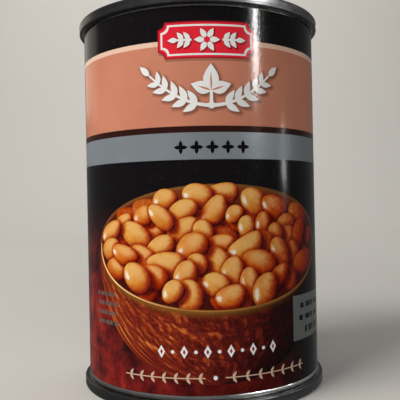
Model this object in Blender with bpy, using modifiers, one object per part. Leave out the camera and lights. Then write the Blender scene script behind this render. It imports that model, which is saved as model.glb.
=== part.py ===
"""A shut steel food can with a wrapped paper label, standing upright.

Blender 4.5, metres, +Z up. The origin is the centre of the base, and the middle of
the label's front faces -Y. The can is the common 3 by 4 7/16 inch size: a filled
body, a top and a bottom end joined to it by double seams, and a paper sleeve.
"""

import math

import bpy

MM = 0.001

# Driving dimensions of the can
CAN_HEIGHT = 112.7 * MM
SEAM_RADIUS = 38.1 * MM
BODY_RADIUS = 36.35 * MM
SEAM_HEIGHT = 3.0 * MM
FIT_GAP = 0.3 * MM

# The thin rim of the body, which stands up inside each double seam
RIM_WALL = 0.35 * MM
RIM_DEPTH = 5.3 * MM

# The double seam, in section
SEAM_TOP_ROUND = 0.7 * MM
SEAM_FOOT_ROUND = 0.4 * MM
SEAM_FLAT = 0.7 * MM
SEAM_INNER_ROUND = 0.5 * MM

# The end panel inside the seam, with depths measured down from the seam's top
CHUCK_WALL_DEPTH = 3.7 * MM
COUNTERSINK_ROUND = 0.5 * MM
PANEL_DEPTH = 2.3 * MM
PANEL_EDGE_ROUND = 0.4 * MM
PANEL_WALL_LEAN = 0.25 * MM
BEAD_HEIGHT = 0.5 * MM
BEAD_HALF_WIDTH = 1.0 * MM
BEAD_RADII = (26.0 * MM, 30.5 * MM)
CENTRE_STEP_RADIUS = 20.5 * MM
CENTRE_STEP_WIDTH = 0.8 * MM
CENTRE_STEP_DROP = 0.4 * MM

# The ridge of bare steel between the bottom seam and the label
FOOT_RIDGE_HEIGHT = 0.3 * MM
FOOT_RIDGE_WIDTH = 1.2 * MM

# The paper label
LABEL_BOTTOM = 4.6 * MM
LABEL_TOP = 109.1 * MM
LABEL_THICKNESS = 0.25 * MM

# Facets round the axis, segments in each rounded corner and ridge, and the angle of a sharp edge
STEPS_ROUND = 60
QUARTER_SEGMENTS = 2
RIDGE_SEGMENTS = 4
MERGE_DISTANCE = 0.05 * MM
SHARP_ANGLE = math.radians(50)


def clear_scene():
    for obj in list(bpy.data.objects):
        bpy.data.objects.remove(obj)


def make_collection(name):
    collection = bpy.data.collections.new(name)
    bpy.context.scene.collection.children.link(collection)
    return collection


def make_material(name, colour, roughness, metallic):
    material = bpy.data.materials.new(name)
    material.use_nodes = True
    shader = material.node_tree.nodes["Principled BSDF"]
    shader.inputs["Base Color"].default_value = (*colour, 1.0)
    shader.inputs["Roughness"].default_value = roughness
    shader.inputs["Metallic"].default_value = metallic
    return material


def corner(centre_r, centre_z, radius, start_deg, end_deg):
    """Points along an arc in section, both ends included. 0 degrees points outwards and 90 up."""
    segments = round(abs(end_deg - start_deg) / 90) * QUARTER_SEGMENTS
    points = []
    for i in range(segments + 1):
        angle = math.radians(start_deg + (end_deg - start_deg) * i / segments)
        points.append((centre_r + radius * math.cos(angle), centre_z + radius * math.sin(angle)))
    return points


def ridge(start, end, height, upward):
    """A low round ridge from one (radius, height) point to another, swelling up or outwards."""
    points = []
    for i in range(RIDGE_SEGMENTS + 1):
        share = i / RIDGE_SEGMENTS
        swell = height * math.sin(math.pi * share)
        r = start[0] + (end[0] - start[0]) * share
        z = start[1] + (end[1] - start[1]) * share
        points.append((r, z + swell) if upward else (r + swell, z))
    return points


def turn(name, profile, material, collection):
    """A solid of revolution about Z. Its section's points run from the top, down the outer side."""
    count = len(profile)
    edges = [(i, i + 1) for i in range(count - 1)]
    if profile[0][0] > 0:
        edges.append((count - 1, 0))
    section = bpy.data.meshes.new(name + "_section")
    section.from_pydata([(r, 0.0, z) for r, z in profile], edges, [])
    obj = bpy.data.objects.new(name, section)
    collection.objects.link(obj)
    screw = obj.modifiers.new("Turn", "SCREW")
    screw.steps = STEPS_ROUND
    screw.render_steps = STEPS_ROUND
    screw.use_merge_vertices = True
    screw.merge_threshold = MERGE_DISTANCE
    shade_by_angle(obj)
    obj.data.materials.append(material)
    return obj


def shade_by_angle(obj):
    """Apply the modifiers, then shade the round faces smooth and keep the corners sharp."""
    evaluated = obj.evaluated_get(bpy.context.evaluated_depsgraph_get())
    solid = bpy.data.meshes.new_from_object(evaluated)
    solid.name = obj.name
    obj.modifiers.clear()
    section = obj.data
    obj.data = solid
    bpy.data.meshes.remove(section)
    solid.shade_smooth()
    solid.set_sharp_from_angle(angle=SHARP_ANGLE)


def panel_section():
    """The beaded panel of an end, from the axis out to its rounded edge."""
    centre_level = -PANEL_DEPTH - CENTRE_STEP_DROP
    points = [(0.0, centre_level)]
    points.append((CENTRE_STEP_RADIUS - CENTRE_STEP_WIDTH, centre_level))
    points.append((CENTRE_STEP_RADIUS, -PANEL_DEPTH))
    for radius in BEAD_RADII:
        inner = (radius - BEAD_HALF_WIDTH, -PANEL_DEPTH)
        outer = (radius + BEAD_HALF_WIDTH, -PANEL_DEPTH)
        points += ridge(inner, outer, BEAD_HEIGHT, True)
    return points


def end_section():
    """A can end with its double seam. The seam's top is at height 0."""
    plug_r = BODY_RADIUS - RIM_WALL - FIT_GAP
    groove_r = plug_r - RIM_WALL - COUNTERSINK_ROUND
    panel_r = groove_r - COUNTERSINK_ROUND - PANEL_WALL_LEAN - PANEL_EDGE_ROUND
    points = panel_section()
    points += corner(panel_r, -PANEL_DEPTH - PANEL_EDGE_ROUND, PANEL_EDGE_ROUND, 90, 0)
    points += corner(groove_r, -CHUCK_WALL_DEPTH, COUNTERSINK_ROUND, 180, 360)

    # The seam's rounded top, outer wall and foot
    top_r = SEAM_RADIUS - SEAM_TOP_ROUND
    inner_r = top_r - SEAM_FLAT
    foot_r = SEAM_RADIUS - SEAM_FOOT_ROUND
    points += corner(inner_r, -SEAM_INNER_ROUND, SEAM_INNER_ROUND, 180, 90)
    points += corner(top_r, -SEAM_TOP_ROUND, SEAM_TOP_ROUND, 90, 0)
    points += corner(foot_r, SEAM_FOOT_ROUND - SEAM_HEIGHT, SEAM_FOOT_ROUND, 0, -90)

    # The plug that fits down inside the body's rim
    plug_foot = FIT_GAP - RIM_DEPTH
    points += [(plug_r, -SEAM_HEIGHT), (plug_r, plug_foot), (0.0, plug_foot)]
    return points


def body_section():
    """The filled body, with a thin rim at each end and a bare ridge above the bottom seam."""
    rim_r = BODY_RADIUS - RIM_WALL
    bottom = SEAM_HEIGHT + FIT_GAP
    top = CAN_HEIGHT - bottom
    fill_top = CAN_HEIGHT - RIM_DEPTH
    points = [(0.0, fill_top), (rim_r, fill_top), (rim_r, top), (BODY_RADIUS, top)]
    ridge_top = (BODY_RADIUS, bottom + FOOT_RIDGE_WIDTH)
    points += ridge(ridge_top, (BODY_RADIUS, bottom), FOOT_RIDGE_HEIGHT, False)
    points += [(rim_r, bottom), (rim_r, RIM_DEPTH), (0.0, RIM_DEPTH)]
    return points


def label_section():
    """The paper sleeve, as a closed ring."""
    inner = BODY_RADIUS + FIT_GAP
    outer = inner + LABEL_THICKNESS
    return [(outer, LABEL_TOP), (outer, LABEL_BOTTOM), (inner, LABEL_BOTTOM), (inner, LABEL_TOP)]


def main():
    clear_scene()
    parts = make_collection("bean_can")
    body_steel = make_material("body_steel", (0.55, 0.54, 0.52), 0.25, 1.0)
    end_steel = make_material("end_steel", (0.38, 0.38, 0.38), 0.35, 1.0)
    label_paper = make_material("label_paper", (0.012, 0.01, 0.01), 0.3, 0.0)

    turn("can_body", body_section(), body_steel, parts)
    turn("label", label_section(), label_paper, parts)
    top_end = turn("top_end", end_section(), end_steel, parts)
    top_end.location.z = CAN_HEIGHT

    # The bottom end is the top end turned over
    bottom_end = bpy.data.objects.new("bottom_end", top_end.data)
    parts.objects.link(bottom_end)
    bottom_end.rotation_euler.x = math.pi


main()
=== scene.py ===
"""Looks for the shut food can: the printed label, the bare steel, the floor, the light and the camera.

Lengths on the label are in millimetres: s runs round the can from the middle of the front,
positive to the viewer's right, and z is the height above the can's base.
"""

import math
import random

import bpy
import numpy as np
from mathutils import Euler, Matrix, Vector
from mathutils.geometry import delaunay_2d_cdt


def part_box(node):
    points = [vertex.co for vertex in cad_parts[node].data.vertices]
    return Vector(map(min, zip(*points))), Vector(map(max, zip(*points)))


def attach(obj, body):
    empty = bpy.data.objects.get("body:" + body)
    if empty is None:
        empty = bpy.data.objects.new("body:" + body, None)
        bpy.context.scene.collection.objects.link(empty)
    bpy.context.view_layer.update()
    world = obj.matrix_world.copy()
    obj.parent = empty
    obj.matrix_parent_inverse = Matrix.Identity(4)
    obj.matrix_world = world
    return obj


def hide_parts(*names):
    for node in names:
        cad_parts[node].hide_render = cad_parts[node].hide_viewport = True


MM = 0.001
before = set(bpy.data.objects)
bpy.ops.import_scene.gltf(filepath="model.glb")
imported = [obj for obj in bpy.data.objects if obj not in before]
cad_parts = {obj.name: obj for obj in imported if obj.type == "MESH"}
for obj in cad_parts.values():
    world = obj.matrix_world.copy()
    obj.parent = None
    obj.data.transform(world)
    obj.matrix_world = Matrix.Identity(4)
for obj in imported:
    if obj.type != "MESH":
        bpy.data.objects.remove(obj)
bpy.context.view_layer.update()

# The can, read from the frame
LABEL_LOW, LABEL_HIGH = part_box("label")
END_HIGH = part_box("top_end")[1]
LABEL_RADIUS = LABEL_HIGH.x / MM
LABEL_BOTTOM = LABEL_LOW.z / MM
LABEL_TOP = LABEL_HIGH.z / MM
SEAM_RADIUS = END_HIGH.x / MM
CAN_HEIGHT = END_HIGH.z / MM

# The steel's sections, as in the solids, with depths measured down from the seam's top
BODY_RADIUS = 36.35
FIT_GAP = 0.3
RIM_WALL = 0.35
RIM_DEPTH = 5.3
RIM_EDGE_ROUND = 0.1
CENTRE_RADIUS = 19.7
CENTRE_DEPTH = 2.7
CENTRE_STEP_WIDTH = 0.9
CENTRE_STEP_ROUNDS = (0.2, 0.15)
PANEL_DEPTH = 2.3
PANEL_EDGE_ROUND = 0.4
PANEL_WALL_LEAN = 0.25
BEAD_RADII = (26.0, 30.5)
BEAD_HALF_WIDTH = 1.0
BEAD_HEIGHT = 0.5
GROOVE_DEPTH = 3.7
GROOVE_ROUND = 0.5
SEAM_HEIGHT = 3.0
SEAM_FLAT = 0.7
SEAM_INNER_ROUND = 0.5
SEAM_TOP_ROUND = 0.7
SEAM_FOOT_ROUND = 0.4
SEAM_HOLLOW = 0.06
SEAM_HOLLOW_DEPTHS = (0.75, 2.55)

# The bare ridge over the bottom seam, as it reaches above and below the body's lower edge
RIDGE_ABOVE = 1.25
RIDGE_BELOW = 0.1
RIDGE_HEIGHT = 0.32
RIDGE_POWER = 0.3

TURN_STEPS = 240
MERGE_DISTANCE = 0.00001
SHARP_ANGLE = math.radians(50)

# The steel's colours, the radii between which the seam's darker colour sets in, and its extra roughness. The
# seam's darker colour is painted shade: it stands in for the dark surroundings that the seam reflects.
TINPLATE = (0.74, 0.73, 0.70)
SEAM_SHADE_TINPLATE = (0.13, 0.13, 0.135)
BODY_SILVER = (0.60, 0.61, 0.61)
SEAM_DARK_FROM = 36.2
SEAM_DARK_TO = 37.3
SEAM_MATTE = 0.16
STEEL_BUMP = 0.000002

# The paper sheet and its glued lap at the back
PAPER = 0.15
LABEL_SLACK = 0.25
LAP = 6.0
LAP_EASE = 3.0
LAP_RISE = 0.2
COLUMNS = 148
HALF_TURN = math.pi * LABEL_RADIUS
SHEET_LEFT = -HALF_TURN
SHEET_RIGHT = HALF_TURN + LAP

# The paper's finish: bumps in metres, the share of reflection, and how metallic and how rough silver ink is
SWELL_BUMP = 0.00009
GRAIN_BUMP = 0.000028
GRAIN_SCALE = 1500.0
PAPER_SPECULAR = 0.1
SILVER_SHARE = 0.09
SILVER_SPREAD = 0.2

# The label's material slots
FLAT, BEANS, BOWL, BACKDROP, PAPER_SLOT = range(5)

# The print's bands, by height
PINK_TOP = 100.0
SALMON_TOP = 98.65
SALMON_BOTTOM = 76.9
GREY_TOP = 75.2
GREY_BOTTOM = 67.9

# The pictured bowl, with its half width and its mouth's half height
BOWL_S = 1.9
RIM_Z = 43.9
BOWL_HALF = 39.0
MOUTH_HALF = 17.4
BOWL_TOP = 66.0
RIM_SIDE = 0.9
RIM_FRONT = 0.95
FOOT_Z = 7.4
BOWL_ROUNDNESS = 2.2
BEAN_SPACING = 5.0
SUNK_SPACING = 4.5
SUNK_SHADOW = 0.45
BEAN_TRIES = 6000
BEAN_SEED = 11

# The shadows on a bean: their shift, depth, reach and softness
BEAN_SHADOWS = (((1.1, 0.7), 0.82, 1.28, 0.40), ((0.0, 0.0), 0.56, 1.22, 0.24))

# The pictured light's way on the beans, the way their pale tops face, and the way of their glints
LAMP_WAY = (-0.62, 0.42, 0.66)
TOP_WAY = (0.20, 0.46, 0.865)
GLINT_WAY = (-0.66, -0.04, 0.75)

# The white branches' foot, the foot of the leaf between them, and the steps of their soft shadow
LAUREL_S = 0.9
LAUREL_Z = 82.4
LEAF_Z = 86.4
SHADOW_STEPS = ((0.75, 0.9), (0.5, 0.74), (0.25, 0.55), (0.0, 0.42))

# The red plaque, the blossoms on the grey band, and the rows over the bowl
PLAQUE_Z = 100.0
PLAQUE_HALF_WIDTH = 13.6
PLAQUE_HALF_HEIGHT = 5.0
PLAQUE_HOLLOW = 1.9
FLOWER_EYE = 0.55
BLOSSOM_Z = 71.2
BLOSSOM_STEP = 4.3
LOZENGE_LEFT = -14.2
LOZENGE_STEP = 3.2
LOZENGE_Z = 16.3
RULE_Z = 9.25
RULE_HALF_HEIGHT = 0.15
RULE_ENDS = ((-26.0, -2.2), (3.4, 30.5))
RULE_LEAVES = 7

# The side panels: left, right, bottom and top, and each bar row's foot, left, right and height
SIDE_PANEL = (26.2, 50.0, 16.2, 29.1)
SIDE_BARS = ((25.2, 30.0, 46.5, 1.5), (21.7, 29.3, 47.0, 1.5), (17.9, 32.5, 44.5, 1.9))
BACK_PANEL = (-103.0, -63.0, 11.0, 63.0)
BACK_ROW_STEP = 3.4

# The camera, as a distance from the can's axis and a focal length in pixels of the 400-pixel frame
FRAME_PIXELS = 400
CAMERA_DISTANCE = 197.4
CAMERA_HEIGHT = 56.7
CAMERA_AZIMUTH = -3.9
CAMERA_PITCH = 0.002
CAMERA_YAW = -0.0013
CAMERA_ROLL = -0.0192
FOCAL_PIXELS = 600.9
SENSOR = 36.0

# The stage, in metres: the floor's front end and half width, and the sweep up into the wall
FLOOR_FRONT = -6.0
FLOOR_HALF_WIDTH = 6.0
SWEEP_FROM = 0.7
SWEEP_RADIUS = 0.5
WALL_TOP = 1.6

# Each light: name, azimuth, elevation, distance, size, power, colour and the rays that it is hidden from
STUDIO_WHITE = (1.0, 0.98, 0.95)
KEY_WHITE = (1.0, 0.965, 0.92)
LIGHTS = (
    ("key", -57, 40, 0.85, (0.5, 0.45), 5.4, KEY_WHITE, "glossy"),
    ("fill", -4, 30, 0.9, (0.5, 0.4), 0.8, (0.96, 0.98, 1.0), "glossy"),
    ("key_sheen", -57, 40, 0.85, (0.5, 0.45), 2.2, KEY_WHITE, "diffuse"),
    ("streak_high", 50.6, 18.6, 0.6, (0.016, 0.10), 2.3, STUDIO_WHITE, "diffuse"),
    ("streak_low", 81.4, 5.0, 0.6, (0.012, 0.055), 0.27, STUDIO_WHITE, "diffuse"),
    ("rim", -139, 16, 0.9, (0.62, 0.2), 0.29, (1.0, 0.93, 0.78), "diffuse camera"),
    ("backdrop", 180, 60, 0.9, (1.2, 0.3), 4.2, STUDIO_WHITE, "glossy"),
)
BACKDROP_LEAN = math.radians(58)
LIGHT_TARGET = (0, 0, 0.056)
WORLD_STRENGTH = 0.145


def srgb(r, g, b):
    """A colour from 0 to 255 as linear light."""
    linear = []
    for value in (r, g, b):
        c = value / 255
        linear.append(c / 12.92 if c <= 0.04045 else ((c + 0.055) / 1.055) ** 2.4)
    return tuple(linear)


BLACK = srgb(20, 18, 21)
PINK = srgb(243, 205, 185)
SALMON = srgb(211, 138, 112)
BROWN_LINE = srgb(52, 26, 22)
BAND_GREY = srgb(134, 143, 150)
RED = srgb(240, 44, 62)
DARK_RED = srgb(168, 26, 40)
WHITE = srgb(248, 250, 251)
INK = srgb(14, 13, 15)
PANEL_GREY = srgb(108, 115, 115)
SMALL_GREY = srgb(105, 92, 86)
ROW_TAN = srgb(222, 190, 165)
CREAM = srgb(226, 219, 202)
RIM_LIGHT = srgb(236, 192, 128)
RIM_LEFT = srgb(132, 76, 42)
RIM_GOLD = srgb(152, 100, 44)
RIM_DARK = srgb(112, 74, 40)
MOUTH_DARK = srgb(72, 20, 14)
MOUTH_WALL = srgb(150, 66, 34)


def add_object(name, data):
    obj = bpy.data.objects.new(name, data)
    bpy.context.scene.collection.objects.link(obj)
    return obj


# Meshes of revolution


def corner(centre_r, centre_z, radius, start_deg, end_deg, segments):
    """Points along an arc in section, both ends included. 0 degrees points outwards and 90 up."""
    return ellipse(centre_r, centre_z, radius, radius, segments, start_deg, end_deg)


def ridge(start, end, height, upward, segments, power=1.0):
    """A swelling between two points, round in section, or flat-topped where power is under 1."""
    points = []
    for i in range(segments + 1):
        share = i / segments
        swell = height * max(0.0, math.sin(math.pi * share)) ** power
        r = start[0] + (end[0] - start[0]) * share
        z = start[1] + (end[1] - start[1]) * share
        points.append((r, z + swell) if upward else (r + swell, z))
    return points


def end_section():
    """A can end with its double seam, in millimetres, with the seam's top at height 0."""
    plug_r = BODY_RADIUS - RIM_WALL - FIT_GAP
    groove_r = plug_r - RIM_WALL - GROOVE_ROUND
    panel_r = groove_r - GROOVE_ROUND - PANEL_WALL_LEAN - PANEL_EDGE_ROUND
    low_round, high_round = CENTRE_STEP_ROUNDS
    step_r = CENTRE_RADIUS + CENTRE_STEP_WIDTH
    points = [(0.0, -CENTRE_DEPTH), (CENTRE_RADIUS, -CENTRE_DEPTH)]
    points += corner(CENTRE_RADIUS, -CENTRE_DEPTH - low_round, low_round, 90, 60, 1)[1:]
    points += corner(step_r, -PANEL_DEPTH - high_round, high_round, 150, 90, 2)
    for radius in BEAD_RADII:
        inner = (radius - BEAD_HALF_WIDTH, -PANEL_DEPTH)
        outer = (radius + BEAD_HALF_WIDTH, -PANEL_DEPTH)
        points += ridge(inner, outer, BEAD_HEIGHT, True, 12)
    points += corner(panel_r, -PANEL_DEPTH - PANEL_EDGE_ROUND, PANEL_EDGE_ROUND, 90, 0, 5)
    points += corner(groove_r, -GROOVE_DEPTH, GROOVE_ROUND, 180, 360, 10)

    # The seam's rounded top, its slightly hollow wall and its foot
    top_r = SEAM_RADIUS - SEAM_TOP_ROUND
    foot_r = SEAM_RADIUS - SEAM_FOOT_ROUND
    hollow_top, hollow_foot = SEAM_HOLLOW_DEPTHS
    points += corner(top_r - SEAM_FLAT, -SEAM_INNER_ROUND, SEAM_INNER_ROUND, 180, 90, 6)
    points += corner(top_r, -SEAM_TOP_ROUND, SEAM_TOP_ROUND, 90, 0, 8)
    points += ridge((SEAM_RADIUS, -hollow_top), (SEAM_RADIUS, -hollow_foot), -SEAM_HOLLOW, False, 6)
    points += corner(foot_r, SEAM_FOOT_ROUND - SEAM_HEIGHT, SEAM_FOOT_ROUND, 0, -90, 5)
    points += [(plug_r, -SEAM_HEIGHT), (plug_r, FIT_GAP - RIM_DEPTH), (0.0, FIT_GAP - RIM_DEPTH)]
    return points


def body_section():
    """The filled body, with a thin rim at each end and the bare ridge over the bottom seam."""
    rim_r = BODY_RADIUS - RIM_WALL
    bottom = SEAM_HEIGHT + FIT_GAP
    top = CAN_HEIGHT - bottom
    points = [(0.0, CAN_HEIGHT - RIM_DEPTH), (rim_r, CAN_HEIGHT - RIM_DEPTH), (rim_r, top)]
    points += corner(BODY_RADIUS - RIM_EDGE_ROUND, top - RIM_EDGE_ROUND, RIM_EDGE_ROUND, 90, 0, 3)
    ridge_top = (BODY_RADIUS, bottom + RIDGE_ABOVE)
    ridge_foot = (BODY_RADIUS, bottom - RIDGE_BELOW)
    points += ridge(ridge_top, ridge_foot, RIDGE_HEIGHT, False, 24, RIDGE_POWER)
    points += [(rim_r, bottom), (rim_r, RIM_DEPTH), (0.0, RIM_DEPTH)]
    return points


def turned(name, section, node, material, top=0.0, flip=False):
    """A smooth solid of revolution that stands for a CAD node."""
    mesh = bpy.data.meshes.new(name)
    edges = [(i, i + 1) for i in range(len(section) - 1)]
    mesh.from_pydata([(r * MM, 0.0, z * MM) for r, z in section], edges, [])
    obj = add_object(name, mesh)
    screw = obj.modifiers.new("Turn", "SCREW")
    screw.steps = screw.render_steps = TURN_STEPS
    screw.use_merge_vertices = True
    screw.merge_threshold = MERGE_DISTANCE
    evaluated = obj.evaluated_get(bpy.context.evaluated_depsgraph_get())
    solid = bpy.data.meshes.new_from_object(evaluated)
    obj.modifiers.clear()
    obj.data = solid
    if flip:
        solid.transform(Euler((math.pi, 0, 0)).to_matrix().to_4x4())
    solid.transform(Matrix.Translation((0, 0, top * MM)))
    solid.shade_smooth()
    solid.set_sharp_from_angle(angle=SHARP_ANGLE)
    solid.materials.append(material)
    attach(obj, "root")
    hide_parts(node)
    return obj


# Materials


class Shader:
    """A material on its Principled node, with short calls to add nodes."""

    def __init__(self, name, roughness=0.5, metallic=0.0):
        self.material = bpy.data.materials.new(name)
        self.material.use_nodes = True
        self.tree = self.material.node_tree
        self.surface = self.tree.nodes["Principled BSDF"]
        self.set(self.surface, {"Roughness": roughness, "Metallic": metallic})

    def set(self, node, inputs):
        for key, value in inputs.items():
            if isinstance(value, bpy.types.NodeSocket):
                self.tree.links.new(value, node.inputs[key])
            else:
                node.inputs[key].default_value = value

    def add(self, kind, inputs=None, output=0, **settings):
        node = self.tree.nodes.new("ShaderNode" + kind)
        for key, value in settings.items():
            setattr(node, key, value)
        self.set(node, inputs or {})
        return node.outputs[output]

    def math(self, operation, *values, clamp=False):
        return self.add("Math", dict(enumerate(values)), operation=operation, use_clamp=clamp)

    def times(self, a, b):
        return self.math("MULTIPLY", a, b)

    def minus(self, a, b):
        return self.math("SUBTRACT", a, b)

    def plus(self, total, *others):
        for value in others:
            total = self.math("ADD", total, value)
        return total

    def dot(self, a, b):
        return self.add("VectorMath", {0: a, 1: b}, output="Value", operation="DOT_PRODUCT")

    def span(self, value, low, high, to_low=0.0, to_high=1.0):
        inputs = {"Value": value, 1: low, 2: high, 3: to_low, 4: to_high}
        return self.add("MapRange", inputs, interpolation_type="SMOOTHSTEP")

    def blend(self, share, a, b, mode="MIX"):
        a, b = (c if isinstance(c, bpy.types.NodeSocket) else (*c, 1.0) for c in (a, b))
        return self.add("Mix", {0: share, 6: a, 7: b}, output=2, data_type="RGBA", blend_type=mode)

    def noise(self, vector, scale, detail=2.0, roughness=0.5):
        inputs = {"Vector": vector, "Scale": scale, "Detail": detail, "Roughness": roughness}
        return self.add("TexNoise", inputs)

    def scaled(self, vector, scale):
        return self.add("VectorMath", {0: vector, 1: scale}, operation="MULTIPLY")

    def attribute(self, name, output):
        return self.add("Attribute", output=output, attribute_name=name)

    def split(self, vector):
        return self.add("SeparateXYZ", {0: vector}).node.outputs

    def place(self):
        return self.add("TexCoord", output="Object")

    def ramp(self, value, stops):
        colour = self.add("ValToRGB", {0: value})
        elements = colour.node.color_ramp.elements
        while len(elements) < len(stops):
            elements.new(0.5)
        for element, (position, stop_colour) in zip(elements, stops):
            element.position = position
            element.color = (*stop_colour, 1.0)
        return colour

    def bump(self, height, distance, normal=None):
        inputs = {"Height": height, "Distance": distance, "Strength": 1.0}
        if normal:
            inputs["Normal"] = normal
        return self.add("Bump", inputs)


def steel_material(name, colour, seam_shade_colour, roughness, streaks, streak_scale):
    """Rolled tinplate with fine streaks along one direction and faint stains, with painted shade on the
    seam: a darker colour that stands in for the dark surroundings it reflects.
    """
    shader = Shader(name, roughness, 1.0)
    place = shader.place()
    fine = shader.noise(shader.scaled(place, streak_scale), 1.0, 4.0, 0.6)
    stain = shader.noise(shader.scaled(place, (140, 140, 260)), 1.0, 3.0)
    flat_place = shader.scaled(place, (1, 1, 0))
    radius = shader.add("VectorMath", {0: flat_place}, output="Value", operation="LENGTH")
    # seam masks the painted shade that darkens the seam's colour, and the seam's extra roughness
    seam = shader.span(radius, SEAM_DARK_FROM * MM, SEAM_DARK_TO * MM)
    tint = shader.blend(seam, colour, seam_shade_colour)
    grey_streaks = shader.ramp(fine, [(0.0, (0.78, 0.78, 0.78)), (1.0, (1.0, 1.0, 1.0))])
    tint = shader.blend(1.0, tint, grey_streaks, "MULTIPLY")
    worn = shader.scaled(tint, (0.62, 0.60, 0.58))
    tint = shader.blend(shader.span(stain, 0.45, 0.75, 0.0, 0.35), tint, worn)
    streaked = shader.span(fine, 0.3, 0.7, roughness - 0.05, roughness + streaks)
    rough = shader.plus(streaked, shader.span(stain, 0.4, 0.8, 0.0, 0.1), shader.times(seam, SEAM_MATTE))
    shader.set(shader.surface, {"Base Color": tint, "Roughness": rough})
    shader.set(shader.surface, {"Normal": shader.bump(fine, STEEL_BUMP)})
    return shader.material


def paper_surface(shader, colour, silver=None):
    """Gloss, ripples and print grain that every printed field shares. silver is 1 for metallic ink."""
    place = shader.place()
    height = shader.split(shader.add("UVMap", uv_map="OFBake"))[1]
    swell = shader.noise(shader.scaled(place, (70, 70, 34)), 1.0, 2.0)
    grain = shader.noise(place, GRAIN_SCALE, 2.0)
    beads = shader.math("SINE", shader.times(height, 150.0))
    relief = shader.plus(swell, shader.times(beads, 0.035))
    normal = shader.bump(grain, GRAIN_BUMP, shader.bump(relief, SWELL_BUMP))
    speck = shader.span(grain, 0.62, 0.8, 0.0, 0.05)
    rough = shader.span(grain, 0.35, 0.7, 0.12, 0.18)
    if silver:
        rough = shader.plus(rough, shader.times(silver, SILVER_SPREAD))
        shader.set(shader.surface, {"Metallic": shader.times(silver, SILVER_SHARE)})
    shader.set(shader.surface, {
        "Base Color": shader.blend(speck, colour, (0.5, 0.48, 0.45)),
        "Roughness": rough,
        "Specular IOR Level": PAPER_SPECULAR,
        "Normal": normal,
    })
    return shader.material


def flat_print():
    shader = Shader("label_flat_print")
    colour = shader.attribute("print_colour", "Color")
    cloud = shader.noise(shader.place(), 90.0, 3.0)
    darker = shader.scaled(colour, (0.93, 0.92, 0.91))
    silver = shader.split(shader.attribute("print_tone", "Vector"))[0]
    return paper_surface(shader, shader.blend(shader.span(cloud, 0.3, 0.7), darker, colour), silver)


def bean_print():
    """Beans lit from the left and pale on top, from each point's place on its bean."""
    shader = Shader("label_bean_print")
    p, q, shadow = shader.split(shader.attribute("print_place", "Vector"))
    c, d, aspect = shader.split(shader.attribute("print_turn", "Vector"))
    warmth, glossy, _ = shader.split(shader.attribute("print_tone", "Vector"))
    reach = shader.math("ADD", shader.times(p, p), shader.times(q, q), clamp=True)
    steep = shader.math("POWER", reach, 0.1)
    flat = shader.math("SUBTRACT", 1.0, shader.math("POWER", reach, 1.2), clamp=True)
    rise = shader.math("SQRT", flat)
    along = shader.times(shader.times(p, aspect), steep)
    side = shader.times(q, steep)
    across = shader.minus(shader.times(along, c), shader.times(side, d))
    up = shader.plus(shader.times(along, d), shader.times(side, c))
    normal = shader.add("CombineXYZ", {0: across, 1: up, 2: rise})
    normal = shader.add("VectorMath", {0: normal}, operation="NORMALIZE")

    light = shader.span(shader.dot(normal, LAMP_WAY), -0.50, 1.08)
    light = shader.times(light, shader.minus(1.0, shadow))
    mottle = shader.noise(shader.place(), 900.0, 3.0)
    dots = shader.noise(shader.place(), 2300.0, 1.0)
    mottled = shader.span(mottle, 0.3, 0.7, -0.045, 0.045)
    light = shader.plus(light, mottled, shader.span(dots, 0.3, 0.7, -0.03, 0.03))
    stops = [
        (0.0, srgb(52, 9, 12)), (0.18, srgb(120, 30, 18)), (0.38, srgb(168, 58, 22)),
        (0.58, srgb(203, 104, 30)), (0.78, srgb(221, 144, 54)), (0.92, srgb(233, 166, 78)),
        (1.0, srgb(241, 182, 100)),
    ]
    colour = shader.ramp(light, stops)
    warm = shader.blend(1.0, colour, srgb(244, 190, 128), "MULTIPLY")
    colour = shader.blend(shader.span(warmth, 0.35, 1.0), colour, warm)
    pale = shader.span(shader.dot(normal, TOP_WAY), 0.74, 0.99)
    pale = shader.times(pale, shader.span(light, 0.45, 0.85, 0.0, 0.66))
    colour = shader.blend(pale, colour, srgb(240, 192, 122))
    facing = shader.dot(normal, GLINT_WAY)
    facing = shader.plus(facing, shader.span(mottle, 0.3, 0.7, -0.010, 0.010))
    lit = shader.span(shadow, 0.1, 0.5, 1.0, 0.0)
    sheen = shader.times(shader.span(facing, 0.86, 1.0, 0.0, 0.42), glossy)
    colour = shader.blend(shader.times(sheen, lit), colour, srgb(250, 216, 160))
    shiny = shader.span(glossy, 0.15, 0.4, 0.0, 0.97)
    glint = shader.times(shader.span(facing, 0.955, 0.990), shiny)
    colour = shader.blend(shader.times(glint, lit), colour, srgb(255, 240, 224))
    return paper_surface(shader, colour)


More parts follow.
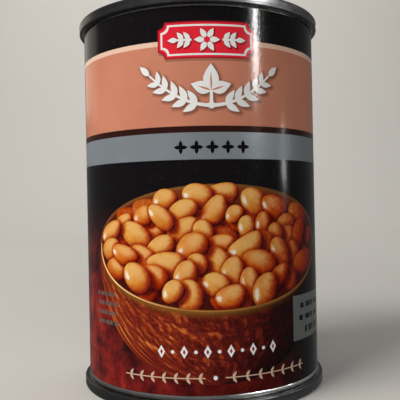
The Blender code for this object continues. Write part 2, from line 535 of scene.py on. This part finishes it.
def bowl_print():
    """The pictured bowl's hammered glaze, from each point's place on the bowl's wall."""
    shader = Shader("label_bowl_print")
    wall = shader.attribute("print_place", "Vector")
    shade, gold, _ = shader.split(shader.attribute("print_tone", "Vector"))

    def dimples(place):
        place = shader.scaled(place, (13, 17, 1))
        inputs = {"Vector": place, "Scale": 1.0, "Smoothness": 0.4}
        return shader.add("TexVoronoi", inputs, feature="SMOOTH_F1")

    warp = shader.add("TexNoise", {"Vector": wall, "Scale": 9.0, "Detail": 2.0}, output="Color")
    warp = shader.add("VectorMath", {0: warp, 1: (0.5, 0.5, 0.5)}, operation="SUBTRACT")
    bent = shader.add("VectorMath", {0: wall, 1: shader.scaled(warp, (0.09, 0.07, 0))})
    moved = shader.add("VectorMath", {0: bent, 1: (-0.022, 0.018, 0)})
    relief = shader.minus(dimples(bent), dimples(moved))
    cloud = shader.noise(shader.scaled(wall, (4.5, 6, 1)), 1.0, 2.0)
    dots = shader.noise(shader.scaled(bent, (46, 52, 1)), 1.0, 1.0)
    rings = shader.noise(shader.scaled(bent, (1.2, 42, 1)), 1.0, 2.0)
    patchy = shader.span(cloud, 0.36, 0.6, 0.10, 0.36)
    crests = shader.times(shader.span(relief, 0.04, 0.24), patchy)
    light = shader.plus(
        0.54, crests,
        shader.span(relief, -0.25, 0.0, -0.08, 0.0),
        shader.span(dots, 0.4, 0.7, -0.04, 0.13),
        shader.span(cloud, 0.3, 0.7, -0.07, 0.07),
        shader.span(rings, 0.35, 0.65, -0.05, 0.05),
    )
    light = shader.math("MULTIPLY", light, shade, clamp=True)
    stops = [
        (0.0, srgb(13, 9, 11)), (0.2, srgb(52, 14, 14)), (0.4, srgb(98, 27, 20)),
        (0.6, srgb(140, 46, 25)), (0.8, srgb(182, 84, 36)), (1.0, srgb(222, 134, 60)),
    ]
    colour = shader.ramp(light, stops)
    colour = shader.blend(gold, colour, srgb(134, 84, 30))
    return paper_surface(shader, colour)


def backdrop_print():
    """Black, with a dark red cloth under the pictured bowl and to its left."""
    shader = Shader("label_backdrop_print")
    uv = shader.add("UVMap", uv_map="OFBake")
    across, height, _ = shader.split(uv)
    along = shader.times(shader.minus(across, 0.5), UV_SPAN / MM)
    up = shader.times(height, UV_SPAN / MM)
    low_down = shader.span(up, 6.0, 20.0, 1.0, 0.0)
    below = shader.times(low_down, shader.span(along, 12.0, 34.0, 1.0, 0.0))
    far_left = shader.span(along, -36.0, -22.0, 1.0, 0.0)
    beside = shader.times(far_left, shader.span(up, 22.0, 58.0, 1.0, 0.0))
    amount = shader.math("MAXIMUM", below, beside)
    amount = shader.times(amount, shader.span(along, -78.0, -50.0))
    folds = shader.noise(shader.scaled(uv, (46, 40, 1)), 1.0, 4.0, 0.6)
    stops = [
        (0.28, srgb(42, 14, 20)), (0.42, srgb(98, 24, 25)), (0.54, srgb(134, 34, 30)),
        (0.66, srgb(160, 48, 36)), (0.8, srgb(184, 80, 46)),
    ]
    cloth = shader.ramp(folds, stops)
    shaded = shader.scaled(cloth, (0.42, 0.40, 0.40))
    cloth = shader.blend(shader.span(along, -30.0, 6.0), cloth, shaded)
    return paper_surface(shader, shader.blend(amount, BLACK, cloth))


def plain_material(name, colour, roughness, scale, spread):
    shader = Shader(name, roughness)
    cloud = shader.noise(shader.place(), scale, 3.0)
    darker = tuple(c * (1 - spread) for c in colour)
    shader.set(shader.surface, {"Base Color": shader.blend(cloud, darker, colour)})
    return shader.material


# Outlines on the flat sheet, each a list of (s, z)


def ellipse(s, z, a, b, count, start=0.0, end=360.0):
    """A whole ellipse, or an arc of one with both its ends."""
    closed = end - start >= 360
    points = []
    for i in range(count if closed else count + 1):
        angle = math.radians(start + (end - start) * i / count)
        points.append((s + a * math.cos(angle), z + b * math.sin(angle)))
    return points


def turned_points(points, s, z, degrees, size=1.0):
    c, d = math.cos(math.radians(degrees)) * size, math.sin(math.radians(degrees)) * size
    return [(s + x * c - y * d, z + x * d + y * c) for x, y in points]


def stroke(path, widths, grow=0.0):
    """An outline round a path. widths gives the full width at the start, middle and end."""
    count = len(path)
    left, right = [], []
    for i, point in enumerate(path):
        way = path[min(i + 1, count - 1)] - path[max(i - 1, 0)]
        side = np.array((-way[1], way[0])) / (np.linalg.norm(way) or 1)
        t = i / (count - 1)
        width = widths[0] * (1 - t) * (1 - 2 * t) + 4 * widths[1] * t * (1 - t) + widths[2] * t * (2 * t - 1)
        half = max(width, 0.25) / 2 + grow
        left.append(tuple(point + side * half))
        right.append(tuple(point - side * half))
    return right + left[::-1]


def leaf(length, width, grow=0.0):
    """A pointed leaf from the origin along +s."""
    rows = 10
    upper = []
    for i in range(rows + 1):
        t = i / rows
        half = width / 2 * math.sin(math.pi * t ** 0.8) + grow
        upper.append((length * t + grow * (2 * t - 1), half))
    lower = [(x, -y) for x, y in (upper if grow else upper[1:-1])]
    return lower + upper[::-1]


def lozenge(s, z, a, b):
    return [(s - a, z), (s, z - b), (s + a, z), (s, z + b)]


def column_s(i):
    """The sheet is cut along upright lines, so that it follows the can's round."""
    return SHEET_LEFT + (SHEET_RIGHT - SHEET_LEFT) * i / COLUMNS


class Sheet:
    """The label's print as outlines, each painted over those before it."""

    def __init__(self):
        self.outlines = []
        self.fields = []
        self.spots = []

    def paint(self, outline, colour=BLACK, key=None, slot=FLAT):
        self.outlines.append(outline)
        self.fields.append((slot, colour, key))

    def box(self, left, right, bottom, top, colour=BLACK, key=None, slot=FLAT):
        self.paint([(left, bottom), (right, bottom), (right, top), (left, top)], colour, key, slot)

    def triangles(self):
        """The sheet cut into triangles along every outline, and the topmost outline over each."""
        points, edges = [], []
        for outline in self.outlines:
            first, count = len(points), len(outline)
            edges += [(first + i, first + (i + 1) % count) for i in range(count)]
            points += outline
        for i in range(1, COLUMNS):
            edges.append((len(points), len(points) + 1))
            points += [(column_s(i), LABEL_BOTTOM), (column_s(i), LABEL_TOP)]
        points += self.spots
        found = delaunay_2d_cdt([Vector(p) for p in points], edges, [], 0, 1e-4, False)
        flat = np.array([tuple(c) for c in found[0]])
        triangles = np.array(found[2])
        middle = flat[triangles].mean(axis=1)
        tops = np.zeros(len(triangles), np.int32)
        for index, outline in enumerate(self.outlines):
            tops[covered(outline, middle)] = index
        return flat, triangles, tops


def covered(outline, points):
    """Which of the points lie inside an outline, by its winding round them."""
    corners = np.array(outline)
    near = np.all((points >= corners.min(axis=0)) & (points <= corners.max(axis=0)), axis=1)
    chosen = np.flatnonzero(near)
    s, z = points[chosen, 0], points[chosen, 1]
    winding = np.zeros(len(chosen), np.int32)
    for (s0, z0), (s1, z1) in zip(outline, outline[1:] + outline[:1]):
        left_of = (s1 - s0) * (z - z0) - (s - s0) * (z1 - z0)
        winding += (z0 <= z) & (z1 > z) & (left_of > 0)
        winding -= (z0 > z) & (z1 <= z) & (left_of < 0)
    return chosen[winding != 0]


# The pictures and ornaments on the label


def laurel_outlines(grow):
    """Two leafy branches that rise to either side of a bean plant's three-part leaf."""
    outlines = []
    for side in (-1, 1):
        path = []
        for i in range(25):
            t = i / 24
            path.append(np.array((side * (0.4 + 16.8 * t), LAUREL_Z + 8.6 * t ** 1.9)))
        outlines.append(stroke(path, (1.0, 0.75, 0.5), grow))
        for at, size in ((5, 1.0), (9, 1.0), (13, 0.96), (17, 0.9), (20, 0.8)):
            heading = math.degrees(math.atan2(*(path[at + 1] - path[at - 1])[::-1]))
            for turn in (42, -42):
                outlines.append(turned_points(leaf(4.5, 1.85, grow), *path[at], heading + turn, size))
        heading = math.degrees(math.atan2(*(path[-1] - path[-2])[::-1]))
        outlines.append(turned_points(leaf(4.0, 1.8, grow), *path[-1], heading))
    for degrees, length, width in ((90, 7.2, 4.3), (18, 5.8, 3.5), (162, 5.8, 3.5)):
        outlines.append(turned_points(leaf(length, width, grow), 0, LEAF_Z, degrees))
    stem = [np.array((0, z)) for z in (LAUREL_Z, LAUREL_Z + 2, LEAF_Z + 0.4)]
    outlines.append(stroke(stem, (1.1, 0.9, 0.8), grow))
    outlines.append(ellipse(0, LAUREL_Z, 1.1 + grow, 0.9 + grow, 16))
    return [[(s + LAUREL_S, z) for s, z in outline] for outline in outlines]


def paint_bands(sheet):
    for bottom, top, *look in (
        (LABEL_BOTTOM, LABEL_TOP, BLACK, None, BACKDROP),
        (SALMON_TOP, PINK_TOP, PINK),
        (SALMON_BOTTOM, SALMON_TOP, SALMON),
        (GREY_TOP, SALMON_BOTTOM, BROWN_LINE),
        (GREY_BOTTOM, GREY_TOP, BAND_GREY, "silver"),
    ):
        sheet.box(SHEET_LEFT, SHEET_RIGHT, bottom, top, *look)


def plaque_outline(inset):
    """The plaque's outline, with hollowed corners."""
    w, h = PLAQUE_HALF_WIDTH - inset, PLAQUE_HALF_HEIGHT - inset
    points = []
    for s, z, start in ((w, -h, 180), (w, h, 270), (-w, h, 0), (-w, -h, 90)):
        points += ellipse(s, PLAQUE_Z + z, PLAQUE_HOLLOW, PLAQUE_HOLLOW, 6, start, start - 90)
    return points


def plaque_ornament(grow):
    """A six-petal flower between two sprigs."""
    outlines = []
    for i, foot in enumerate(ellipse(0, PLAQUE_Z, FLOWER_EYE, FLOWER_EYE, 6)):
        outlines.append(turned_points(leaf(3.0, 1.55, grow), *foot, 60 * i))
    for side in (-1, 1):
        path = [np.array((side * s, PLAQUE_Z)) for s in (4.2, 6.2, 8.2)]
        outlines.append(stroke(path, (0.6, 0.6, 0.6), grow))
        outlines.append(turned_points(leaf(2.8, 1.4, grow), side * 8.0, PLAQUE_Z, 90 - 90 * side))
        for s in (4.7, 6.5):
            for lean in (52, -52):
                degrees = lean if side > 0 else 180 - lean
                outlines.append(turned_points(leaf(2.7, 1.35, grow), side * s, PLAQUE_Z, degrees))
    return outlines


def paint_plaque(sheet):
    """A red plaque with a darker edge, a white line inside it, a shadow and the ornament."""
    shade = tuple(0.62 * c for c in SALMON)
    sheet.paint([(s + 0.35, z - 0.55) for s, z in plaque_outline(-0.1)], shade)
    for inset, colour in ((0.0, DARK_RED), (0.35, RED), (0.85, WHITE), (1.35, RED)):
        sheet.paint(plaque_outline(inset), colour)
    for outline in plaque_ornament(0.2):
        sheet.paint([(s + 0.25, z - 0.25) for s, z in outline], DARK_RED)
    for outline in plaque_ornament(0.0):
        sheet.paint(outline, WHITE)
    sheet.paint(ellipse(0, PLAQUE_Z, 0.85, 0.85, 14), RED)


def paint_blossom(sheet, s, z, length, width, colour):
    for degrees in (0, 90, 180, 270):
        sheet.paint(turned_points(leaf(length, width), s, z, degrees), colour)


def paint_front_ornaments(sheet):
    """The white branches over their soft shadow, and the row of black blossoms on the grey band."""
    for grow, depth in SHADOW_STEPS:
        shade = tuple(c * depth for c in SALMON)
        for outline in laurel_outlines(grow):
            sheet.paint([(s + 0.45, z - 0.45) for s, z in outline], shade)
    for outline in laurel_outlines(0.0):
        sheet.paint(outline, WHITE)
    for degrees, length in ((90, 5.2), (18, 4.0), (162, 4.0)):
        sheet.paint(turned_points(leaf(length, 0.5), LAUREL_S, LEAF_Z, degrees), SALMON)
    for i in range(5):
        paint_blossom(sheet, LAUREL_S + (i - 2) * BLOSSOM_STEP, BLOSSOM_Z, 1.9, 1.1, INK)


def paint_front_rows(sheet):
    """A row of lozenges and dots over the bowl, and two leafy rules with a dot between them."""
    for i in range(11):
        s = LOZENGE_LEFT + i * LOZENGE_STEP
        if i % 2:
            sheet.paint(ellipse(s, LOZENGE_Z, 0.5, 0.5, 12), WHITE)
        else:
            sheet.paint(lozenge(s, LOZENGE_Z, 1.05, 1.75), WHITE)
            sheet.paint(lozenge(s, LOZENGE_Z, 0.4, 0.75), DARK_RED)
    sheet.paint(ellipse(0.6, 9.3, 0.6, 0.6, 12), WHITE)
    for left, right in RULE_ENDS:
        sheet.box(left, right, RULE_Z - RULE_HALF_HEIGHT, RULE_Z + RULE_HALF_HEIGHT, ROW_TAN)
        for i in range(RULE_LEAVES):
            s = left + (right - left) * (i + 0.5) / RULE_LEAVES
            for degrees in (55, -55):
                sheet.paint(turned_points(leaf(1.9, 0.75), s, RULE_Z, degrees), ROW_TAN)


def paint_side_panels(sheet):
    """The grey panel with rows of bars at the right of the front, and the small grey bars at its left."""
    sheet.box(*SIDE_PANEL, PANEL_GREY)
    for z, left, right, height in SIDE_BARS:
        count = 5
        width = (right - left) / count
        for i in range(count):
            start = left + i * width
            end = start + width * (0.55 + 0.3 * (i % 2))
            sheet.box(start, end, z, z + height, INK)
    for row in range(4):
        z = 30.0 - row * 2.7
        left = -39.4 + 0.5 * (row % 2)
        for i in range(5):
            start = left + i * 2.1
            end = start + 1.3 + 0.5 * ((i + row) % 2)
            sheet.box(start, end, z, z + 1.1, SMALL_GREY)


def paint_back(sheet, rng):
    """A cream panel with ruled rows, and rows of tan bars over three blossoms, round the back."""
    left, right, bottom, top = BACK_PANEL
    sheet.box(left, right, bottom, top, CREAM)
    sheet.box(left + 2, right - 2, top - 7.0, top - 2.5, INK)
    z = top - 10.0
    while z > bottom + 5:
        sheet.box(left + 2, right - 2, z, z + 0.3, INK)
        width = rng.uniform(9, 19)
        sheet.box(left + 2.5, left + 2.5 + width, z + 1.0, z + 2.1, SMALL_GREY)
        sheet.box(right - 8.5, right - 3.5, z + 1.0, z + 2.1, SMALL_GREY)
        z -= BACK_ROW_STEP
    for row in range(12):
        z = 60.0 - row * BACK_ROW_STEP
        start = 62.0
        end = 103.0 - rng.uniform(0, 9)
        while start < end:
            width = rng.uniform(1.8, 5.2)
            sheet.box(start, min(start + width, end), z, z + 1.3, ROW_TAN)
            start += width + 0.9
    for i in range(3):
        paint_blossom(sheet, 74.0 + i * 8.6, 14.5, 3.4, 1.9, BAND_GREY)


class Bean:
    """One pictured bean: its middle, tilt and half sizes on the sheet, and how deep it lies.

    Beans at the back of the bowl are smaller and lie flatter than those at the front.
    """

    def __init__(self, s, z, sunk, rng):
        nearness = (RIM_Z + MOUTH_HALF - z) / (2 * MOUTH_HALF)
        size = 0.86 + 0.27 * nearness
        self.s, self.z, self.sunk = s, z, sunk
        tilt = rng.uniform(-1, 1)
        flatter = 2.0 - 1.4 * nearness
        self.angle = math.pi / 2 * math.copysign(abs(tilt) ** flatter, tilt)
        self.b = rng.uniform(2.6, 4.0) * size
        self.a = min(self.b * rng.choice((1.2, 1.3, 1.45, 1.6, 1.75)), 5.9)
        self.bend = rng.choice((0.0, 0.010, 0.020, 0.035)) * rng.choice((-1, 1))
        self.egg = rng.uniform(-0.10, 0.10)
        self.warmth = rng.random()
        self.glossy = rng.random()

    def ring(self, scale, count):
        """Points on the bean's outline, or on a ring of the same shape at another scale."""
        points = []
        for p, q in ellipse(0, 0, scale, scale, count):
            x = p * self.a
            points.append((x, q * self.b * (1 + self.egg * p) + self.bend * x * x))
        return turned_points(points, self.s, self.z, math.degrees(self.angle))

    def place_in(self, s, z):
        """(p, q) on the bean: its outline is where they make a unit circle."""
        c, d = math.cos(self.angle), math.sin(self.angle)
        x = (s - self.s) * c + (z - self.z) * d
        y = -(s - self.s) * d + (z - self.z) * c
        p = x / self.a
        return p, (y - self.bend * x * x) / (self.b * (1 + self.egg * np.clip(p, -1.4, 1.4)))


def bean_layer(spacing, sunk, margin_s, margin_z, rng):
    """Beans at least a spacing apart over the bowl's mouth, heaped in the middle, the back ones first."""
    half_s = BOWL_HALF - margin_s
    half_z = MOUTH_HALF - margin_z
    middles = []
    for _ in range(BEAN_TRIES):
        s = rng.uniform(-half_s, half_s)
        z = rng.uniform(-half_z, half_z)
        if (s / half_s) ** 2 + (z / half_z) ** 2 >= 1:
            continue
        if all(math.hypot(s - a, 1.12 * (z - b)) > spacing for a, b in middles):
            middles.append((s, z))
    beans = []
    for s, z in middles:
        heaped = 0.0 if sunk else (1 - (s / half_s) ** 2) * (0.2 + 0.6 * z / half_z)
        beans.append(Bean(BOWL_S + s, RIM_Z + z + heaped, sunk, rng))
    return sorted(beans, key=lambda bean: -bean.z + rng.uniform(-3.0, 3.0))


def rim_colour(s, left):
    """The pictured rim turns from one colour at the left to gold in front and dull at the right."""
    share = (s - BOWL_S) / BOWL_HALF
    low, high = (left, RIM_GOLD) if share < -0.25 else (RIM_GOLD, RIM_DARK)
    t = (share + 1) / 0.75 if share < -0.25 else (share + 0.25) / 1.25
    t = min(1.0, max(0.0, t))
    return tuple(a + (b - a) * t for a, b in zip(low, high))


def front_rim_z(s):
    share = np.clip(1 - ((np.asarray(s) - BOWL_S) / BOWL_HALF) ** 2, 0, 1)
    return RIM_Z - MOUTH_HALF * np.sqrt(share)


def wall_half_width(z):
    share = np.clip((RIM_Z - np.asarray(z)) / (RIM_Z - FOOT_Z), 0.0, 1.0)
    return BOWL_HALF * np.sqrt(1 - share ** BOWL_ROUNDNESS)


def paint_bowl(sheet, beans):
    """The bowl's rim and mouth, the beans, and over them the bowl's wall and the rim's front."""
    inner_a, inner_b = BOWL_HALF - RIM_SIDE, MOUTH_HALF - RIM_FRONT
    sheet.paint(ellipse(BOWL_S, RIM_Z, BOWL_HALF, MOUTH_HALF, 96), RIM_GOLD, key="rim")
    sheet.paint(ellipse(BOWL_S, RIM_Z - 0.2, inner_a, MOUTH_HALF - 0.6, 96), MOUTH_DARK, key="mouth")
    for bean in beans:
        sheet.paint(bean.ring(1.0, 30), key=bean, slot=BEANS)
    wall = []
    steps = 40
    for i in range(steps + 1):
        turn = math.pi * i / steps
        drop = math.sin(turn) ** (2 / BOWL_ROUNDNESS)
        s = BOWL_S - BOWL_HALF * math.cos(turn)
        wall.append((s, RIM_Z - (RIM_Z - FOOT_Z) * drop))
    front_inner = ellipse(BOWL_S, RIM_Z, inner_a, inner_b, 60, 0, -180)
    front_outer = ellipse(BOWL_S, RIM_Z, BOWL_HALF, MOUTH_HALF, 60, 0, -180)
    sheet.paint(wall + front_outer, key="bowl", slot=BOWL)
    sheet.paint(front_inner + front_outer[::-1], RIM_GOLD, key="rim")
    line_outer = ellipse(BOWL_S - 0.10, RIM_Z - 0.50, inner_a + 0.25, inner_b, 70, -15, -185)
    line_inner = ellipse(BOWL_S + 0.05, RIM_Z - 0.15, inner_a + 0.10, inner_b, 70, -15, -185)
    sheet.paint(line_inner + line_outer[::-1], RIM_LIGHT, key="rim line")


def paint_spots(sheet, beans):
    """Extra corners in the picture, so that its shading has points to follow."""
    for bean in beans:
        for scale in (0.0, 0.4, 0.7, 0.9, 1.12, 1.3):
            sheet.spots += bean.ring(scale, round(16 * scale) + 1)
    drops = (0.4, 0.8, 1.3, 1.9, 2.5, 3.2, 4.0)
    half_step = (column_s(1) - column_s(0)) / 2
    for i in range(2 * COLUMNS):
        s = column_s(0) + i * half_step
        if abs(s - BOWL_S) > BOWL_HALF:
            continue
        rim_z = float(front_rim_z(s))
        sheet.spots += [(s, rim_z - drop) for drop in drops]
        for k in range(int(BOWL_TOP - LABEL_BOTTOM)):
            z = LABEL_BOTTOM + 0.5 + k
            if z < rim_z - 4.6 or (z > rim_z and i % 2 == 0):
                sheet.spots.append((s, z))


def bean_shadow(bean, s, z, beans):
    """How dark other beans and the bowl's front make each point of a bean."""
    shadow = np.full(len(s), bean.sunk)
    for other in beans[beans.index(bean) + 1:]:
        for shift, depth, reach, soft in BEAN_SHADOWS:
            p, q = other.place_in(s - shift[0], z + shift[1])
            shadow = np.maximum(shadow, depth * np.clip((reach - np.sqrt(p * p + q * q)) / soft, 0, 1))
    edge = np.sqrt(((s - BOWL_S) / BOWL_HALF) ** 2 + ((z - RIM_Z) / MOUTH_HALF) ** 2)
    front = np.clip((edge - 0.86) / 0.14, 0, 1) * np.clip((RIM_Z + 4 - z) / 8, 0, 1)
    shadow = np.maximum(shadow, 0.6 * front)
    right = np.clip((s - BOWL_S - 6) / 30, 0, 1)
    return 1 - (1 - shadow) * (1 - 0.68 * right)


def corner_looks(field, s, z, beans):
    """Colour, place, turn and tone at the corners of one outline's triangles."""
    _, colour, key = field
    count = len(s)
    colours = np.tile(np.array(colour), (count, 1))
    places, turns, tones = (np.zeros((count, 3)) for _ in range(3))
    if key == "silver":
        tones[:, 0] = 1.0
    elif key == "rim":
        colours = np.array([rim_colour(x, RIM_LEFT) for x in s]) * 0.8
    elif key == "rim line":
        colours = np.array([rim_colour(x, RIM_LIGHT) for x in s]) * 1.6
    elif key == "mouth":
        back = np.clip((z - RIM_Z) / MOUTH_HALF, 0, 1)[:, None] ** 3
        colours = np.array(MOUTH_DARK) * (1 - back) + np.array(MOUTH_WALL) * back
    elif key == "bowl":
        across = np.clip((s - BOWL_S) / np.maximum(wall_half_width(z), 1.0), -1, 1)
        drop = front_rim_z(s) - z
        level = np.clip((RIM_Z - z) / (RIM_Z - FOOT_Z), 0.02, 1)
        reach = np.sqrt(np.clip(1 - ((s - BOWL_S) / BOWL_HALF) ** 2, 0.004, 1))
        places[:, 0] = np.arcsin(0.98 * across)
        places[:, 1] = np.clip(level / reach, 0, 1.4)
        lit = np.clip(0.42 + 0.34 * np.sqrt(1 - across ** 2) - 0.50 * across, 0, 1.2)
        fade = np.clip((42 - s) / 33, 0, 1)
        foot = np.clip((z - FOOT_Z + 3) / 14, 0, 1)
        tones[:, 0] = lit * fade * (0.70 + 0.30 * foot) * (1 - 0.22 * np.clip(1 - drop / 3, 0, 1))
        glow = np.clip(0.75 - (s - BOWL_S) / 44, 0.16, 1)
        tones[:, 1] = glow * np.clip(1 - drop / 1.6, 0, 1) ** 1.3 * fade ** 0.5
    elif isinstance(key, Bean):
        places[:, 0], places[:, 1] = key.place_in(s, z)
        places[:, 2] = bean_shadow(key, s, z, beans)
        turns[:] = (math.cos(key.angle), math.sin(key.angle), key.b / key.a)
        tones[:, 0], tones[:, 1] = key.warmth, key.glossy
    return colours, places, turns, tones


# The label's mesh


def sheet_radius(s):
    """The paper's outer radius. One end lies under the other at the glued lap."""
    over = np.clip((s - HALF_TURN + LAP_EASE) / LAP_EASE, 0, 1)
    return LABEL_RADIUS - LABEL_SLACK + LAP_RISE * over


def wrap(s, z, depth=0.0):
    angle = s / LABEL_RADIUS
    r = (sheet_radius(s) - depth) * MM
    return np.stack([r * np.sin(angle), -r * np.cos(angle), z * MM], 1)


UV_SPAN = (SHEET_RIGHT - SHEET_LEFT) * MM


def along_edge(values, level, order):
    """The points whose value is at a level, sorted along that edge of the sheet."""
    return sorted(np.flatnonzero(np.abs(values - level) < 1e-3).tolist(), key=lambda i: order[i])


def label_mesh(sheet, beans):
    """The sheet wrapped round the can: the printed outside, the plain inside and the cut edges."""
    flat, triangles, tops = sheet.triangles()
    s, z = flat[:, 0], flat[:, 1]
    top = along_edge(z, LABEL_TOP, s)
    bottom = along_edge(z, LABEL_BOTTOM, s)
    ends = top + bottom
    inner = {i: len(flat) + k for k, i in enumerate(ends)}
    places = np.concatenate([wrap(s, z), wrap(s[ends], z[ends], PAPER)])
    faces = triangles.tolist()
    printed = len(faces)
    for line, swap in ((top, False), (bottom, True)):
        for a, b in zip(line, line[1:]):
            quad = [a, b, inner[b], inner[a]]
            faces.append(quad[::-1] if swap else quad)

    # The inside is a strip of triangles between the top edge's points and the bottom edge's
    i = k = 0
    while i < len(top) - 1 or k < len(bottom) - 1:
        step_top = k == len(bottom) - 1 or (i < len(top) - 1 and s[top[i + 1]] <= s[bottom[k + 1]])
        a, b = inner[top[i]], inner[bottom[k]]
        if step_top:
            i += 1
            faces.append([a, inner[top[i]], b])
        else:
            k += 1
            faces.append([a, inner[bottom[k]], b])
    for target, swap in ((SHEET_LEFT, False), (SHEET_RIGHT, True)):
        side = along_edge(s, target, z)
        ring = [*side, inner[side[-1]], inner[side[0]]]
        faces.append(ring[::-1] if swap else ring)
    mesh = bpy.data.meshes.new("label_sheet")
    mesh.from_pydata([tuple(p) for p in places], [], faces)
    write_print(mesh, sheet, beans, flat, triangles, tops, printed)
    return mesh


def write_print(mesh, sheet, beans, flat, triangles, tops, printed):
    slots = np.full(len(mesh.polygons), PAPER_SLOT, np.int32)
    slots[:printed] = [sheet.fields[t][0] for t in tops]
    mesh.polygons.foreach_set("material_index", slots)
    loops = len(mesh.loops)
    loop_points = np.zeros(loops, np.int32)
    mesh.loops.foreach_get("vertex_index", loop_points)
    colours = np.tile(np.array((*WHITE, 1.0)), (loops, 1))
    places, turns, tones = (np.zeros((loops, 3)) for _ in range(3))
    printed_loops = 3 * printed
    owner = np.repeat(np.array(tops), 3)
    at = flat[loop_points[:printed_loops]]
    for index in np.unique(owner):
        mine = np.flatnonzero(owner == index)
        looks = corner_looks(sheet.fields[index], at[mine, 0], at[mine, 1], beans)
        colours[mine, :3], places[mine], turns[mine], tones[mine] = looks
    mesh.attributes.new("print_colour", "FLOAT_COLOR", "CORNER").data.foreach_set("color", colours.ravel())
    for name, values in (("print_place", places), ("print_turn", turns), ("print_tone", tones)):
        mesh.attributes.new(name, "FLOAT_VECTOR", "CORNER").data.foreach_set("vector", values.ravel())
    uv = np.zeros((loops, 2))
    uv[:, 0] = 0.001
    uv[:printed_loops, 0] = (at[:, 0] * MM) / UV_SPAN + 0.5
    uv[:printed_loops, 1] = at[:, 1] * MM / UV_SPAN
    mesh.uv_layers.new(name="OFBake").data.foreach_set("uv", uv.ravel())
    shade_label(mesh, printed_loops, at)


def shade_label(mesh, printed_loops, at):
    """Normals straight out from the axis on the print, so that its many small triangles shade as one."""
    mesh.shade_smooth()
    custom = np.zeros((len(mesh.loops), 3))
    for polygon in mesh.polygons:
        custom[polygon.loop_start:polygon.loop_start + polygon.loop_total] = polygon.normal
    angle = at[:, 0] / LABEL_RADIUS
    custom[:printed_loops] = np.stack([np.sin(angle), -np.cos(angle), 0 * angle], 1)
    mesh.normals_split_custom_set([tuple(n) for n in custom])


def make_label():
    rng = random.Random(BEAN_SEED)
    sheet = Sheet()
    paint_bands(sheet)
    # A sunk, shaded layer of beans, and the heap over it
    beans = bean_layer(SUNK_SPACING, SUNK_SHADOW, 5.4, 4.8, rng)
    beans += bean_layer(BEAN_SPACING, 0.0, 4.2, 3.5, rng)
    paint_back(sheet, rng)
    paint_bowl(sheet, beans)
    paint_front_rows(sheet)
    paint_side_panels(sheet)
    paint_plaque(sheet)
    paint_front_ornaments(sheet)
    paint_spots(sheet, beans)
    mesh = label_mesh(sheet, beans)
    paper = plain_material("label_paper_inside", srgb(158, 152, 142), 0.7, GRAIN_SCALE, 0.08)
    for material in (flat_print(), bean_print(), bowl_print(), backdrop_print(), paper):
        mesh.materials.append(material)
    label = add_object("printed_label", mesh)
    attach(label, "root")
    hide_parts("label")


def make_steel():
    # The ends' seams carry painted shade, a darker colour for the dark surroundings they reflect
    seam = steel_material("end_tinplate", TINPLATE, SEAM_SHADE_TINPLATE, 0.15, 0.08, (60, 900, 900))
    body = steel_material("body_tinplate", BODY_SILVER, BODY_SILVER, 0.20, 0.12, (160, 160, 2500))
    turned("steel_body", body_section(), "can_body", body)
    turned("steel_top_end", end_section(), "top_end", seam, CAN_HEIGHT)
    turned("steel_bottom_end", end_section(), "bottom_end", seam, 0.0, True)


# The stage, the light and the camera


def make_stage():
    """A pale floor that sweeps up into a wall behind the can, and that the can doesn't reflect."""
    sweep = corner(SWEEP_FROM, SWEEP_RADIUS, SWEEP_RADIUS, -90, 0, 24)[1:]
    section = [(FLOOR_FRONT, 0.0), (SWEEP_FROM, 0.0), *sweep, (SWEEP_FROM + SWEEP_RADIUS, WALL_TOP)]
    mesh = bpy.data.meshes.new("stage_floor")
    points = [(x, y, z) for x in (-FLOOR_HALF_WIDTH, FLOOR_HALF_WIDTH) for y, z in section]
    count = len(section)
    faces = [(i, i + count, i + count + 1, i + 1) for i in range(count - 1)]
    mesh.from_pydata(points, [], faces)
    mesh.shade_smooth()
    floor = add_object("stage_floor", mesh)
    mesh.materials.append(plain_material("stage_pale", (0.80, 0.785, 0.75), 0.8, 6.0, 0.03))
    floor.visible_glossy = False


def area_light(name, azimuth, elevation, distance, size, power, colour):
    """A rectangular light. Azimuth 0 is the side that the label's front faces, and 90 the +X side."""
    a, e = math.radians(azimuth), math.radians(elevation)
    data = bpy.data.lights.new(name, "AREA")
    data.shape = "RECTANGLE"
    data.size, data.size_y = size
    data.energy = power
    data.color = colour
    lamp = add_object(name, data)
    away = Vector((math.sin(a) * math.cos(e), -math.cos(a) * math.cos(e), math.sin(e)))
    lamp.location = Vector(LIGHT_TARGET) + away * distance
    lamp.rotation_euler = away.to_track_quat("Z", "Y").to_euler()
    return lamp


def make_lights():
    for *light, hidden_from in LIGHTS:
        lamp = area_light(*light)
        lamp.visible_glossy = "glossy" not in hidden_from
        lamp.visible_diffuse = "diffuse" not in hidden_from
        lamp.visible_camera = "camera" not in hidden_from
    bpy.data.objects["backdrop"].rotation_euler = Euler((BACKDROP_LEAN, 0, 0))
    world = bpy.data.worlds.new("studio")
    world.use_nodes = True
    background = world.node_tree.nodes["Background"]
    background.inputs["Color"].default_value = (*STUDIO_WHITE, 1.0)
    background.inputs["Strength"].default_value = WORLD_STRENGTH
    bpy.context.scene.world = world
    bpy.context.scene.view_settings.view_transform = "Standard"


def make_camera():
    """The photograph's view, turned so that the label's middle faces -Y."""
    data = bpy.data.cameras.new("camera")
    data.sensor_width = SENSOR
    data.lens = FOCAL_PIXELS / FRAME_PIXELS * SENSOR
    data.clip_start = 0.01
    camera = add_object("camera", data)
    turn = math.radians(CAMERA_AZIMUTH)
    distance = CAMERA_DISTANCE * MM
    camera.location = (distance * math.sin(turn), -distance * math.cos(turn), CAMERA_HEIGHT * MM)
    aim = Euler((math.pi / 2 + CAMERA_PITCH, 0, turn - CAMERA_YAW)).to_matrix()
    roll = Euler((0, 0, CAMERA_ROLL)).to_matrix()
    camera.rotation_euler = (aim @ roll).to_euler()
    bpy.context.scene.camera = camera


make_camera()
make_lights()
make_stage()
make_steel()
make_label()
